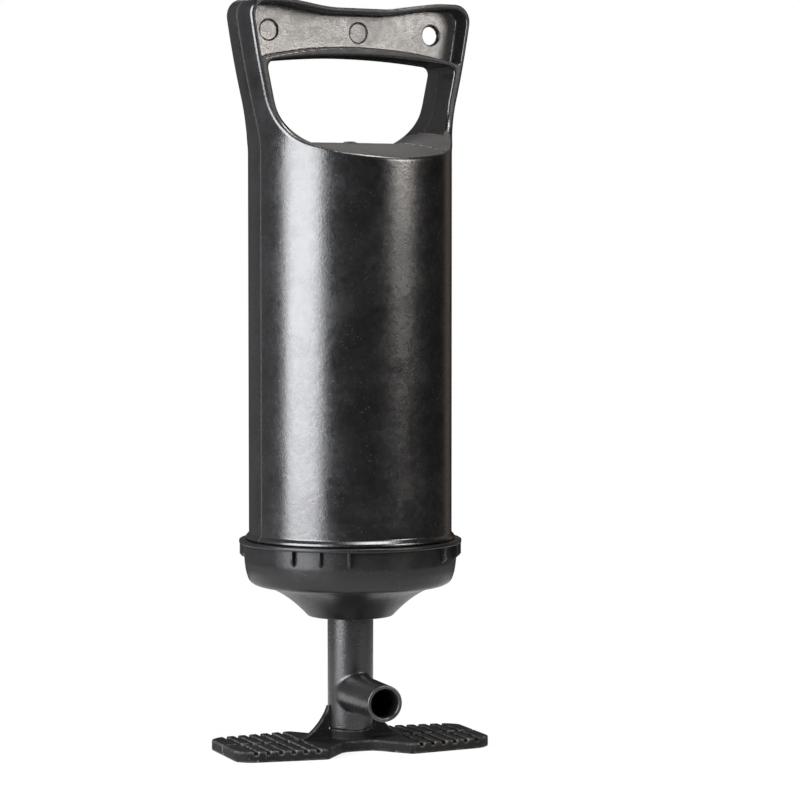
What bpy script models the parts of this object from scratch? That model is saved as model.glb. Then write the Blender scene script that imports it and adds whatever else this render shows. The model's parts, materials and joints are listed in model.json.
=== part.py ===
"""Double-action hand pump on a tread foot: a hollow shaft carries a fixed piston, and the barrel slides
and turns on it. Metres, +Z up, origin on the shaft's axis at the ground, foot along X, hose spigot at -Y."""

import math

import bmesh
import bpy
from mathutils import Matrix

MM = 0.001
GAP = 0.3 * MM  # clearance left between pieces that touch in use
OBJECT_NAME = "hand_pump"
ROUND = 40  # sides of the large turned pieces
SMALL_ROUND = 28  # sides of the small turned pieces
HOLE_ROUND = 10  # sides of small holes, screws and pins
CIRCLE_START = math.radians(3.3)  # where each circle of holes starts

# Foot
FOOT_THICK = 4.3 * MM
FOOT_HALF_LENGTH = 53.1 * MM
FOOT_WAIST = 9.7 * MM
TREAD_GROOVES = 6
TREAD_PITCH = 4.9 * MM
TREAD_FIRST = 21.5 * MM
TREAD_WIDTH = 1.6 * MM
TREAD_DEPTH = 1.4 * MM
SLOT_WIDTH = 1.7 * MM
SLOT_START = 20.0 * MM
SLOT_LENGTH = 40.0 * MM
SLOT_DEPTH = 3.0 * MM
GUSSET_THICK = 3.0 * MM
GUSSET_TOP = 19.4 * MM
GUSSET_REACH = 22.2 * MM
GUSSET_BEND = 4 / 3  # 1 is an elliptical hollow edge, and 2 a straight one
BOSS_RADIUS = 7.8 * MM
BOSS_TOP = 8.2 * MM
FOOT_SCREW_HEAD = 3.8 * MM
FOOT_SCREW_SHANK = 1.85 * MM
FOOT_SCREW_SEAT = 4.7 * MM
FOOT_SCREW_BOTTOM = 1.6 * MM
FOOT_SCREW_SLOT = (4.4 * MM, 0.9 * MM, 2.4 * MM)

# Shaft
SHAFT_RADIUS = 9.05 * MM
SHAFT_BORE = 6.3 * MM
SHAFT_BOTTOM = BOSS_TOP + GAP
SHAFT_FLOOR = 17.2 * MM
SHAFT_TOP = 214.0 * MM
SPIGOT_HEIGHT = 23.0 * MM
SPIGOT_REACH = 38.2 * MM
SPIGOT_ROOT_RADIUS = 7.5 * MM
SPIGOT_END_RADIUS = 7.1 * MM
SPIGOT_BORE = 5.5 * MM
SPIGOT_MOUTH = 0.7 * MM

# Barrel and handle
BARREL_TURN = math.radians(10.0)  # how far the barrel stands turned from the foot
BARREL_RADIUS = 40.0 * MM
BARREL_BORE = 38.1 * MM
BARREL_BOTTOM = 83.8 * MM
BEAD = 1.3 * MM  # how far the bead round the barrel's lower edge stands out
FLARE_START = 234.5 * MM
FLARE_BEND = 10.0 * MM  # height over which the flare turns from upright to its slope
FLARE_SLOPE = 0.287
FLARE_EASE = 205.0 * MM  # the larger, the straighter the flare
HANDLE_TOP = 294.1 * MM
HANDLE_CORNER = 8.0 * MM
HANDLE_SADDLE = 3.0 * MM  # how far the top dips in the middle
SADDLE_FLAT = 10.0 * MM  # half the length of the dip's level bottom
SADDLE_RISE = 28.0 * MM  # the length over which it comes up again
HANDLE_HALF_DEPTH = 10.5 * MM
SCOOP_CENTRE = (31.0 * MM, 256.0 * MM)  # distance from the handle's middle plane, and height
SCOOP_HALF_WIDE = SCOOP_CENTRE[0] - HANDLE_HALF_DEPTH
SCOOP_HALF_HIGH = 19.4 * MM
SHOULDER = ((35.0 * MM, 235.8 * MM), (38.4 * MM, 234.2 * MM), (42.0 * MM, 231.6 * MM))
FLANGE_THICK = 2.0 * MM
SKIN_THICK = 1.7 * MM
WEB_HALF_THICK = 1.0 * MM
GRIP_UNDERSIDE = 272.3 * MM
GRIP_SAG = 2.6 * MM  # how far the grip's underside comes down at its ends
GRIP_END = 38.0 * MM
GRIP_FLANGE_TOP = 275.8 * MM
POCKET_SAG = 6.75 * MM
OPENING_CORNER = (24.6 * MM, 257.0 * MM)  # middle of the ellipse at the opening's lower corner
OPENING_CORNER_WIDE = 14.7 * MM
OPENING_CORNER_HIGH = 18.0 * MM
OPENING_CORNER_ARC = math.radians(75)
ROOF_CORNER = (38.4 * MM, 266.1 * MM)
ROOF_CORNER_RADIUS = 3.4 * MM
VAULT_TOP = 238.6 * MM
VAULT_DROP = 5.8 * MM
WEB_HOLE_RADIUS = 4.0 * MM
WEB_HOLE_HEIGHT = 282.0 * MM
WEB_HOLE_SIDE = 36.8 * MM
WEB_DIMPLE = 3.3 * MM  # how far the middle dimple is off the middle
CEILING = 235.2 * MM
VALVE_BOSS_RADIUS = 9.5 * MM
VALVE_BOSS_TOP = 238.8 * MM
BUTTON_RADIUS = 2.9 * MM
BUTTON_STEM = 1.9 * MM
BUTTON_HEAD = 4.0 * MM  # the snap head under the wall that holds the flap

# End cap
CAP_BOTTOM = 53.0 * MM
CAP_FLANGE_TOP = 83.5 * MM
CAP_FLANGE_THICK = 1.5 * MM
CAP_FLANGE_RADIUS = 43.9 * MM
CAP_BAND_RADIUS = 41.8 * MM
CAP_COLLAR_RADIUS = 37.7 * MM
CAP_COLLAR_TOP = 90.0 * MM
CAP_COLLAR_BORE = 34.0 * MM
CAP_GROOVE_RADIUS = 36.0 * MM
CAP_GROOVE_BOTTOM = 85.2 * MM
CAP_GROOVE_TOP = 87.6 * MM
CAP_WALL = 3.2 * MM
CAP_FLOOR = 56.6 * MM
CAP_LIP_TOP = 55.5 * MM
GLAND_BORE = 11.6 * MM
GLAND_RADIUS = 13.0 * MM
GLAND_TOP = 66.0 * MM
SHAFT_SEAL_BOTTOM = 63.0 * MM
RETAINER_RADIUS = 15.6 * MM
RETAINER_BOTTOM = 60.2 * MM
BELL_EDGE_RADIUS = 37.5 * MM
BELL_EDGE_HEIGHT = 65.5 * MM
BELL_NECK_RADIUS = 17.2 * MM
BELL_DROP = 12.0 * MM
BELL_BEND = 1.8  # 1 is a plain cone, and more is more hollow
CAP_FLOOR_RADIUS = 19.0 * MM
CAP_PORT_CIRCLE = 15.2 * MM
RIB_GROUP_TURN = math.radians(43.6)
RIB_GROUP_STEP = math.radians(15.3)
RIB_THICK = 1.0 * MM
RIB_BOTTOM = 76.6 * MM

# Piston
PISTON_RADIUS = 37.3 * MM
PISTON_FLOOR_BOTTOM = 217.6 * MM
PISTON_FLOOR_TOP = 220.0 * MM
PISTON_RIM_TOP = 226.6 * MM
PISTON_TOP = 229.5 * MM
PISTON_WALL = 3.7 * MM
SEAL_GROOVE_DEPTH = 1.9 * MM
SEAL_GROOVE_BOTTOM = 221.5 * MM
SEAL_GROOVE_TOP = 225.0 * MM
SEAL_RADIUS = 37.65 * MM
HUB_RADIUS = 12.5 * MM
HUB_BOTTOM = 203.0 * MM
PISTON_SCREW_CIRCLE = 30.6 * MM
SCREW_PILLAR_RADIUS = 3.4 * MM
SCREW_HOLE_RADIUS = 1.6 * MM
SCREW_HEAD_RADIUS = 2.7 * MM
SCREW_SEAT = 228.1 * MM
PORT_COUNT = 6
PORT_RADIUS = 2.0 * MM
PISTON_PORT_CIRCLE = 22.0 * MM
FLAP_THICK = 1.0 * MM

PLASTIC_BLACK = ((0.018, 0.018, 0.019), 0.42, 0.0)
PLASTIC_GREY = ((0.20, 0.20, 0.205), 0.5, 0.0)
RUBBER_BLACK = ((0.01, 0.01, 0.01), 0.75, 0.0)
RUBBER_RED = ((0.35, 0.05, 0.03), 0.7, 0.0)
ACETAL_WHITE = ((0.75, 0.74, 0.70), 0.4, 0.0)
STEEL = ((0.62, 0.62, 0.62), 0.3, 1.0)


def start_scene():
    """Clears the scene and makes the two collections."""
    for old in list(bpy.data.objects):
        bpy.data.objects.remove(old, do_unlink=True)
    groups = []
    for name in (OBJECT_NAME, "cutters"):
        group = bpy.data.collections.new(name)
        bpy.context.scene.collection.children.link(group)
        groups.append(group)
    return groups


PARTS, CUTTERS = start_scene()


def material(name, finish):
    colour, roughness, metallic = finish
    made = bpy.data.materials.new(name)
    made.use_nodes = True
    shader = made.node_tree.nodes["Principled BSDF"]
    shader.inputs["Base Color"].default_value = (*colour, 1.0)
    shader.inputs["Roughness"].default_value = roughness
    shader.inputs["Metallic"].default_value = metallic
    return made


def add_object(name, mesh, finish=None, parent=None):
    """A part when it has a finish, and otherwise a hidden cutter."""
    made = bpy.data.objects.new(name, mesh)
    if finish is None:
        CUTTERS.objects.link(made)
        made.hide_render = True
        made.display_type = "WIRE"
    else:
        PARTS.objects.link(made)
        mesh.materials.append(material(name + "_finish", finish))
    made.parent = parent
    return made


def turned(name, profile, finish=None, parent=None, sides=ROUND, closed=False):
    """A turned piece: the (radius, height) profile runs down the outer side and back up the inner one."""
    mesh = bpy.data.meshes.new(name)
    count = len(profile)
    edges = [(i, i + 1) for i in range(count - 1)]
    if closed:
        edges.append((count - 1, 0))
    mesh.from_pydata([(radius, 0.0, height) for radius, height in profile], edges, [])
    made = add_object(name, mesh, finish, parent)
    screw = made.modifiers.new("turn", "SCREW")
    screw.axis = "Z"
    screw.steps = sides
    screw.render_steps = sides
    screw.use_merge_vertices = True
    screw.merge_threshold = 0.00001
    screw.use_smooth_shade = True
    return made


def ring(name, inner, outer, bottom, top, finish, parent=None, sides=ROUND):
    profile = [(inner, top), (outer, top), (outer, bottom), (inner, bottom)]
    return turned(name, profile, finish, parent, sides, closed=True)


def prism(name, outline, half_depth, parent=None, finish=None):
    """A flat outline in local XY made solid, half_depth each way along local Z."""
    curve = bpy.data.curves.new(name, "CURVE")
    curve.dimensions = "2D"
    curve.fill_mode = "BOTH"
    curve.extrude = half_depth
    spline = curve.splines.new("POLY")
    spline.points.add(len(outline) - 1)
    for point, (x, y) in zip(spline.points, outline):
        point.co = (x, y, 0.0, 1.0)
    spline.use_cyclic_u = True
    guide = bpy.data.objects.new(name + "_outline", curve)
    CUTTERS.objects.link(guide)
    bpy.context.view_layer.update()
    depsgraph = bpy.context.evaluated_depsgraph_get()
    mesh = bpy.data.meshes.new_from_object(guide.evaluated_get(depsgraph))
    bpy.data.objects.remove(guide, do_unlink=True)
    solid = bmesh.new()
    solid.from_mesh(mesh)
    bmesh.ops.remove_doubles(solid, verts=solid.verts, dist=0.000001)
    bmesh.ops.dissolve_limit(solid, angle_limit=0.001, verts=solid.verts, edges=solid.edges)
    bmesh.ops.recalc_face_normals(solid, faces=solid.faces)
    solid.to_mesh(mesh)
    solid.free()
    return add_object(name, mesh, finish, parent)


def stand_across(made, offset=0.0):
    """Stands a prism up: its local X stays along X, its local Y goes up, and it is deep along Y."""
    made.rotation_euler = (math.radians(90), 0.0, 0.0)
    made.location.y = offset


def stand_along(made):
    """Stands a prism up: its local X goes along Y, its local Y goes up, and it is deep along X."""
    made.rotation_euler = (math.radians(90), 0.0, math.radians(90))


def solids(name, adders, parent=None, finish=None):
    """One mesh holding several separate primitives, each made by a function of the bmesh."""
    mesh = bpy.data.meshes.new(name)
    shape = bmesh.new()
    for add in adders:
        add(shape)
    shape.to_mesh(mesh)
    shape.free()
    return add_object(name, mesh, finish, parent)


def cone_adder(place, depth, radius, sides):
    """A function that adds a round rod to a bmesh, along the local Z of its place."""

    def add(shape):
        bmesh.ops.create_cone(
            shape, cap_ends=True, segments=sides, radius1=radius, radius2=radius, depth=depth, matrix=place
        )

    return add


def rod_adder(x, y, bottom, top, radius, sides=HOLE_ROUND):
    """A function that adds an upright round rod to a bmesh."""
    return cone_adder(Matrix.Translation((x, y, (bottom + top) / 2)), top - bottom, radius, sides)


def box_adder(centre, size, turn=0.0):
    """A function that adds a box to a bmesh, turned about the Z axis through the origin."""
    place = Matrix.Rotation(turn, 4, "Z") @ Matrix.Translation(centre) @ Matrix.Diagonal((*size, 1.0))

    def add(shape):
        bmesh.ops.create_cube(shape, size=1.0, matrix=place)

    return add


def circle_rods(count, circle, bottom, top, radius):
    """Adders for rods spaced evenly round a circle."""
    angles = [CIRCLE_START + math.tau * i / count for i in range(count)]
    return [
        rod_adder(circle * math.cos(a), circle * math.sin(a), bottom, top, radius) for a in angles
    ]


def combine(target, tool, operation):
    change = target.modifiers.new(tool.name, "BOOLEAN")
    change.operation = operation
    change.solver = "EXACT"
    change.object = tool


def cut(target, tool):
    combine(target, tool, "DIFFERENCE")


def join(target, tool):
    combine(target, tool, "UNION")


def keep_inside(target, tool):
    combine(target, tool, "INTERSECT")


# --- Base: the foot, the shaft and the piston it carries ---


def foot_outline():
    """Bow-tie plan of the foot: two tread plates joined by a narrow waist."""
    quarter = [
        (6.0 * MM, FOOT_WAIST),
        (17.5 * MM, 23.4 * MM),
        (22.0 * MM, 23.0 * MM),
        (48.5 * MM, 19.6 * MM),
        (FOOT_HALF_LENGTH, 15.5 * MM),
    ]
    right = quarter + [(x, -y) for x, y in reversed(quarter)]
    return right + [(-x, -y) for x, y in right]


def gusset_outline(side):
    """A web beside the shaft with a hollow edge, from the shaft down to the plate."""
    inner = SHAFT_RADIUS + GAP
    reach, rise = GUSSET_REACH - inner, GUSSET_TOP - FOOT_THICK
    steps = 8
    edge = []
    for i in range(steps + 1):
        angle = math.pi / 2 * i / steps
        inward, down = reach * math.cos(angle) ** GUSSET_BEND, rise * math.sin(angle) ** GUSSET_BEND
        edge.append((GUSSET_REACH - inward, GUSSET_TOP - down))
    low = FOOT_THICK - 1.0 * MM
    boss_side = BOSS_RADIUS - 2.0 * MM
    start = [(boss_side, low), (boss_side, BOSS_TOP - 0.4 * MM), (inner, BOSS_TOP - 0.4 * MM)]
    outline = start + edge + [(GUSSET_REACH, low)]
    return [(side * x, y) for x, y in outline]


def make_foot():
    plate = prism("foot_base", foot_outline(), FOOT_THICK / 2, finish=PLASTIC_BLACK)
    plate.location.z = FOOT_THICK / 2
    boss = solids("foot_boss", [rod_adder(0, 0, 1.0 * MM, BOSS_TOP, BOSS_RADIUS, SMALL_ROUND)])
    join(plate, boss)
    for side in (-1, 1):
        gusset = prism(f"foot_gusset_{side}", gusset_outline(side), GUSSET_THICK / 2)
        stand_across(gusset)
        join(plate, gusset)
    grooves = []
    for side in (-1, 1):
        for i in range(TREAD_GROOVES):
            x = side * (TREAD_FIRST + i * TREAD_PITCH)
            grooves.append(box_adder((x, 0, FOOT_THICK), (TREAD_WIDTH, 60 * MM, 2 * TREAD_DEPTH)))
    cut(plate, solids("tread_grooves", grooves))
    slots = []
    for side in (-1, 1):
        middle = (side * (SLOT_START + SLOT_LENGTH / 2), 0, FOOT_THICK)
        slots.append(box_adder(middle, (SLOT_LENGTH, SLOT_WIDTH, 2 * SLOT_DEPTH)))
    cut(plate, solids("tread_slots", slots))
    counterbore = rod_adder(0, 0, -1 * MM, FOOT_SCREW_SEAT, FOOT_SCREW_HEAD + 0.5 * MM, 24)
    cut(plate, solids("foot_counterbore", [counterbore]))
    screw_hole = rod_adder(0, 0, 0, BOSS_TOP + 1 * MM, FOOT_SCREW_SHANK + GAP, 16)
    cut(plate, solids("foot_screw_hole", [screw_hole]))


def make_foot_screw():
    seat = FOOT_SCREW_SEAT - GAP
    tip = SHAFT_FLOOR - 1.5 * MM
    profile = [
        (0.0, tip),
        (0.9 * MM, tip),
        (FOOT_SCREW_SHANK, tip - 1.5 * MM),
        (FOOT_SCREW_SHANK, seat),
        (FOOT_SCREW_HEAD, seat),
        (FOOT_SCREW_HEAD - 0.3 * MM, FOOT_SCREW_BOTTOM),
        (0.0, FOOT_SCREW_BOTTOM),
    ]
    screw = turned("foot_screw", profile, STEEL, sides=16)
    for i in range(2):
        slot = box_adder((0, 0, FOOT_SCREW_BOTTOM), FOOT_SCREW_SLOT, turn=i * math.pi / 2)
        cut(screw, solids(f"foot_screw_slot_{i}", [slot]))


def spigot_profile(tip, root):
    """The outside of the hose spigot along its own axis, from its end back to a point inside the shaft."""
    collar = SHAFT_RADIUS + 3.0 * MM
    return [
        (0.0, tip),
        (SPIGOT_END_RADIUS - 0.3 * MM, tip),
        (SPIGOT_END_RADIUS, tip - 0.3 * MM),
        (SPIGOT_ROOT_RADIUS, collar),
        (SPIGOT_ROOT_RADIUS, root),
        (0.0, root),
    ]


def point_at_spigot(made):
    """Lays a turned piece along the spigot: its local Z points to -Y at the spigot's height."""
    made.rotation_euler = (math.radians(90), 0.0, 0.0)
    made.location.z = SPIGOT_HEIGHT


def make_shaft():
    """The hollow shaft with its hose spigot, one moulding: air leaves the piston down its bore."""
    profile = [
        (0.0, SHAFT_TOP),
        (SHAFT_RADIUS, SHAFT_TOP),
        (SHAFT_RADIUS, SHAFT_BOTTOM),
        (0.0, SHAFT_BOTTOM),
    ]
    shaft = turned("shaft_tube", profile, PLASTIC_BLACK, sides=SMALL_ROUND)
    spigot = turned("spigot_outside", spigot_profile(SPIGOT_REACH, 2.0 * MM), sides=SMALL_ROUND)
    point_at_spigot(spigot)
    join(shaft, spigot)
    bore = [rod_adder(0, 0, SHAFT_FLOOR, SHAFT_TOP + 5 * MM, SHAFT_BORE, SMALL_ROUND)]
    cut(shaft, solids("shaft_bore", bore))
    channel = [
        (0.0, SPIGOT_REACH + SPIGOT_MOUTH),
        (SPIGOT_BORE + 2 * SPIGOT_MOUTH, SPIGOT_REACH + SPIGOT_MOUTH),
        (SPIGOT_BORE, SPIGOT_REACH - SPIGOT_MOUTH),
        (SPIGOT_BORE, 0.0),
        (0.0, 0.0),
    ]
    spigot_bore = turned("spigot_bore", channel, sides=24)
    point_at_spigot(spigot_bore)
    cut(shaft, spigot_bore)
    pilot = rod_adder(0, 0, SHAFT_BOTTOM - 1 * MM, SHAFT_FLOOR - 1.0 * MM, FOOT_SCREW_SHANK + GAP, 16)
    cut(shaft, solids("shaft_pilot_hole", [pilot]))


def piston_guides():
    """Three pins that keep both exhaust flaps centred."""
    return circle_rods(3, 16.4 * MM, PISTON_FLOOR_TOP - 1 * MM, PISTON_RIM_TOP, 1.2 * MM)


def make_piston_lower():
    """Dish on the shaft's top with a socket for the shaft, screw pillars, flap pins and inlet ports."""
    inside = PISTON_RADIUS - PISTON_WALL
    groove = PISTON_RADIUS - SEAL_GROOVE_DEPTH
    socket = SHAFT_RADIUS + GAP
    profile = [
        (inside, PISTON_RIM_TOP),
        (PISTON_RADIUS, PISTON_RIM_TOP),
        (PISTON_RADIUS, SEAL_GROOVE_TOP),
        (groove, SEAL_GROOVE_TOP),
        (groove, SEAL_GROOVE_BOTTOM),
        (PISTON_RADIUS, SEAL_GROOVE_BOTTOM),
        (PISTON_RADIUS, PISTON_FLOOR_BOTTOM),
        (HUB_RADIUS, PISTON_FLOOR_BOTTOM),
        (HUB_RADIUS, HUB_BOTTOM),
        (socket, HUB_BOTTOM),
        (socket, SHAFT_TOP + GAP),
        (SHAFT_BORE, SHAFT_TOP + GAP),
        (SHAFT_BORE, PISTON_FLOOR_TOP),
        (inside, PISTON_FLOOR_TOP),
    ]
    dish = turned("piston_lower", profile, PLASTIC_GREY, closed=True)
    inner_low, low = PISTON_FLOOR_TOP - 1 * MM, PISTON_FLOOR_BOTTOM - 1 * MM
    pillars = circle_rods(3, PISTON_SCREW_CIRCLE, inner_low, PISTON_RIM_TOP, SCREW_PILLAR_RADIUS)
    join(dish, solids("screw_pillars", pillars))
    join(dish, solids("flap_pins", piston_guides()))
    ports = circle_rods(PORT_COUNT, PISTON_PORT_CIRCLE, low, PISTON_FLOOR_TOP + 0.5 * MM, PORT_RADIUS)
    cut(dish, solids("lower_ports", ports))
    pilots = circle_rods(3, PISTON_SCREW_CIRCLE, PISTON_FLOOR_TOP, PISTON_RIM_TOP + 1 * MM, SCREW_HOLE_RADIUS)
    cut(dish, solids("screw_pilots", pilots))


def make_piston_upper():
    """Plate that closes the piston, with ports for the air above it and sunk screw seats."""
    bottom = PISTON_RIM_TOP + GAP
    profile = [
        (0.0, PISTON_TOP),
        (PISTON_RADIUS - 0.4 * MM, PISTON_TOP),
        (PISTON_RADIUS, PISTON_TOP - 0.4 * MM),
        (PISTON_RADIUS, bottom),
        (0.0, bottom),
    ]
    plate = turned("piston_upper", profile, PLASTIC_GREY)
    low, high = bottom - 1 * MM, PISTON_TOP + 1 * MM
    cut(plate, solids("upper_ports", circle_rods(PORT_COUNT, PISTON_PORT_CIRCLE, low, high, PORT_RADIUS)))
    cut(plate, solids("screw_holes", circle_rods(3, PISTON_SCREW_CIRCLE, low, high, SCREW_HOLE_RADIUS)))
    seats = circle_rods(3, PISTON_SCREW_CIRCLE, SCREW_SEAT, high, SCREW_HEAD_RADIUS + 0.4 * MM)
    cut(plate, solids("screw_seats", seats))


def make_piston_seal():
    inner = PISTON_RADIUS - SEAL_GROOVE_DEPTH + GAP
    bottom, top = SEAL_GROOVE_BOTTOM + GAP, SEAL_GROOVE_TOP - GAP
    profile = [
        (inner, top),
        (SEAL_RADIUS - 0.5 * MM, top),
        (SEAL_RADIUS, top - 0.4 * MM),
        (SEAL_RADIUS, bottom + 0.4 * MM),
        (SEAL_RADIUS - 0.5 * MM, bottom),
        (inner, bottom),
    ]
    turned("piston_seal", profile, RUBBER_BLACK, closed=True)


def make_exhaust_flaps():
    """Two loose rubber rings inside the piston: each lets air in through its own plate only."""
    inner, outer = 18.0 * MM, 26.0 * MM
    low = PISTON_FLOOR_TOP + GAP
    high = PISTON_RIM_TOP
    ring("exhaust_flap_lower", inner, outer, low, low + FLAP_THICK, RUBBER_RED, sides=SMALL_ROUND)
    ring("exhaust_flap_upper", inner, outer, high - FLAP_THICK, high, RUBBER_RED, sides=SMALL_ROUND)


def make_piston_screws():
    """Three countersunk-flush screws that hold the piston's two halves together."""
    seat, head_top, tip = SCREW_SEAT + GAP, PISTON_TOP - 0.1 * MM, PISTON_FLOOR_TOP + 0.5 * MM
    shank = SCREW_HOLE_RADIUS - GAP
    profile = [
        (0.0, head_top),
        (SCREW_HEAD_RADIUS, head_top),
        (SCREW_HEAD_RADIUS, seat),
        (shank, seat),
        (shank, tip + 1 * MM),
        (0.5 * MM, tip),
        (0.0, tip),
    ]
    for i in range(3):
        angle = CIRCLE_START + math.tau * i / 3
        screw = turned(f"piston_screw_{i + 1}", profile, STEEL, sides=HOLE_ROUND)
        screw.location = (PISTON_SCREW_CIRCLE * math.cos(angle), PISTON_SCREW_CIRCLE * math.sin(angle), 0)


# --- Barrel with its handle ---


def flare(height, skin=0.0):
    """Radius of the round outside at a height: straight barrel, then the flare of the handle."""
    above = max(0.0, height - FLARE_START)
    rise = above - FLARE_BEND / 2
    if above < FLARE_BEND:
        rise = above**2 / (2 * FLARE_BEND)
    return BARREL_RADIUS + FLARE_SLOPE * rise * (1 - rise / FLARE_EASE) - skin


def flared_outside(top, corner, lowest, skin=0.0):
    """Profile of the flared round outside from the axis at the top, over the corner and down."""
    steps, flare_steps = 4, 8
    radius = flare(top - corner, skin)
    points = [(0.0, top)]
    for i in range(steps):
        angle = math.pi / 2 * (1 - i / steps)
        points.append((radius - corner + corner * math.cos(angle), top - corner + corner * math.sin(angle)))
    for i in range(flare_steps + 1):
        height = (top - corner) + (lowest - top + corner) * i / flare_steps
        points.append((flare(height, skin), height))
    return points


def saddle(across, drop=0.0):
    """Height of the handle's top edge at a distance from the middle."""
    way = min(1.0, max(0.0, (abs(across) - SADDLE_FLAT) / SADDLE_RISE))
    return HANDLE_TOP - drop - HANDLE_SADDLE * (1 - way * way * (3 - 2 * way))


def saddle_points(reach, drop=0.0, steps=14):
    points = []
    for i in range(steps + 1):
        across = reach * (1 - 2 * i / steps)
        points.append((across, saddle(across, drop)))
    return points


def scoop_outline(side):
    """Side view of what is cut away in front of the handle: up its face, and out over the shoulder."""
    middle, height = SCOOP_CENTRE
    beyond, above, steps = 60.0 * MM, HANDLE_TOP + 15 * MM, 8
    points = [(beyond, above), (HANDLE_HALF_DEPTH, above)]
    for i in range(steps + 1):
        angle = math.pi / 2 * i / steps
        inward, down = SCOOP_HALF_WIDE * math.cos(angle), SCOOP_HALF_HIGH * math.sin(angle)
        points.append((middle - inward, height - down))
    points += [*SHOULDER, (beyond, SHOULDER[-1][1])]
    return [(side * x, y) for x, y in points]


def grip_half_outline(vault):
    """Right half of the hand opening at one depth, from the middle of its floor up to its roof."""
    points = [(0.0, VAULT_TOP - vault)]
    middle, top = OPENING_CORNER
    steps, roof_steps = 8, 4
    for i in range(steps + 1):
        angle = OPENING_CORNER_ARC * i / steps
        height = top - OPENING_CORNER_HIGH * math.cos(angle)
        settle = max(0.0, 1 - (height - VAULT_TOP) / (top - VAULT_TOP))
        points.append((middle + OPENING_CORNER_WIDE * math.sin(angle), height - vault * settle))
    middle, height = ROOF_CORNER
    for i in range(roof_steps + 1):
        angle = math.pi / 2 * i / roof_steps
        across, rise = ROOF_CORNER_RADIUS * math.cos(angle), ROOF_CORNER_RADIUS * math.sin(angle)
        points.append((middle + across, height + rise))
    for across in (28.0 * MM, 16.0 * MM, 0.0):
        points.append((across, GRIP_UNDERSIDE - GRIP_SAG * (across / GRIP_END) ** 2))
    return points


def make_hand_opening(parent):
    """Cutter for the hand opening: sections along the depth, whose floor falls away as a vault."""
    mesh = bpy.data.meshes.new("hand_opening")
    shape = bmesh.new()
    sections = []
    steps = 10
    for i in range(steps + 1):
        depth = 50 * MM * (2 * i / steps - 1)
        half = grip_half_outline(VAULT_DROP * (depth / BARREL_RADIUS) ** 2)
        outline = half + [(-x, y) for x, y in reversed(half[1:-1])]
        sections.append([shape.verts.new((x, depth, y)) for x, y in outline])
    for near, far in zip(sections, sections[1:]):
        for i in range(len(near)):
            j = (i + 1) % len(near)
            shape.faces.new((near[i], near[j], far[j], far[i]))
    shape.faces.new(sections[0])
    shape.faces.new(sections[-1])
    bmesh.ops.recalc_face_normals(shape, faces=shape.faces)
    shape.to_mesh(mesh)
    shape.free()
    return add_object("hand_opening", mesh, parent=parent)


def make_pocket(side, parent):
    """Cutter for the recess in one face of the grip, inside its rim and down to the web."""
    reach = 50 * MM
    floor = []
    steps = 8
    for i in range(steps + 1):
        across = reach * (2 * i / steps - 1)
        floor.append((across, GRIP_FLANGE_TOP - POCKET_SAG * (across / reach) ** 2))
    outline = floor + saddle_points(reach, FLANGE_THICK)
    half_deep = 10 * MM
    pocket = prism(f"pocket_{side}", outline, half_deep, parent)
    stand_across(pocket, side * (half_deep + WEB_HALF_THICK))
    corner, lowest = HANDLE_CORNER - SKIN_THICK, OPENING_CORNER[1]
    limit_profile = flared_outside(HANDLE_TOP - SKIN_THICK, corner, lowest, SKIN_THICK)
    limit_profile.append((0.0, lowest))
    limit = turned(f"pocket_limit_{side}", limit_profile, parent=parent)
    keep_inside(pocket, limit)
    return pocket


def web_holes(parent):
    """Cutter for the round holes of the grip's web: one right through to hang the pump, and two dimples."""
    deep = 2 * MM
    dimple = WEB_HALF_THICK + deep / 2 - 0.5 * MM
    holes = [(WEB_HOLE_SIDE, 0.0, 10 * MM)]
    holes += [(x, side * dimple, deep) for side in (-1, 1) for x in (-WEB_HOLE_SIDE, WEB_DIMPLE)]
    adders = []
    for x, offset, depth in holes:
        place = Matrix.Translation((x, offset, WEB_HOLE_HEIGHT)) @ Matrix.Rotation(math.radians(90), 4, "X")
        adders.append(cone_adder(place, depth, WEB_HOLE_RADIUS, 20))
    return solids("web_holes", adders, parent)


def make_barrel(parent):
    """Barrel, end wall and D handle: one moulding, open at the bottom."""
    profile = flared_outside(HANDLE_TOP, HANDLE_CORNER, FLARE_START)
    profile += [
        (BARREL_RADIUS, BARREL_BOTTOM + 2.2 * MM),
        (BARREL_RADIUS + BEAD, BARREL_BOTTOM + 0.9 * MM),
        (BARREL_RADIUS + BEAD, BARREL_BOTTOM + 0.3 * MM),
        (BARREL_RADIUS + BEAD - 0.3 * MM, BARREL_BOTTOM),
        (BARREL_BORE, BARREL_BOTTOM),
        (BARREL_BORE, 230.4 * MM),
        (33.0 * MM, 232.4 * MM),
        (22.0 * MM, CEILING - 0.6 * MM),
        (14.0 * MM, CEILING),
        (0.0, CEILING),
    ]
    barrel = turned("barrel", profile, PLASTIC_BLACK, parent)
    for side in (-1, 1):
        scoop = prism(f"scoop_{side}", scoop_outline(side), 60 * MM, parent)
        stand_along(scoop)
        cut(barrel, scoop)
    reach, high = 60 * MM, HANDLE_TOP + 15 * MM
    above = saddle_points(reach) + [(-reach, high), (reach, high)]
    top = prism("handle_top", above, reach, parent)
    stand_across(top)
    cut(barrel, top)
    cut(barrel, make_hand_opening(parent))
    for side in (-1, 1):
        cut(barrel, make_pocket(side, parent))
    cut(barrel, web_holes(parent))
    boss = rod_adder(0, 0, VAULT_TOP - 2 * MM, VALVE_BOSS_TOP, VALVE_BOSS_RADIUS, 24)
    join(barrel, solids("valve_boss", [boss], parent))
    vents = circle_rods(PORT_COUNT, 6 * MM, CEILING - 1 * MM, VALVE_BOSS_TOP + 1 * MM, 1.3 * MM)
    cut(barrel, solids("intake_vents", vents, parent))
    stem_hole = rod_adder(0, 0, CEILING - 1 * MM, VALVE_BOSS_TOP + 1 * MM, 2.2 * MM)
    cut(barrel, solids("button_hole", [stem_hole], parent))


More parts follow.
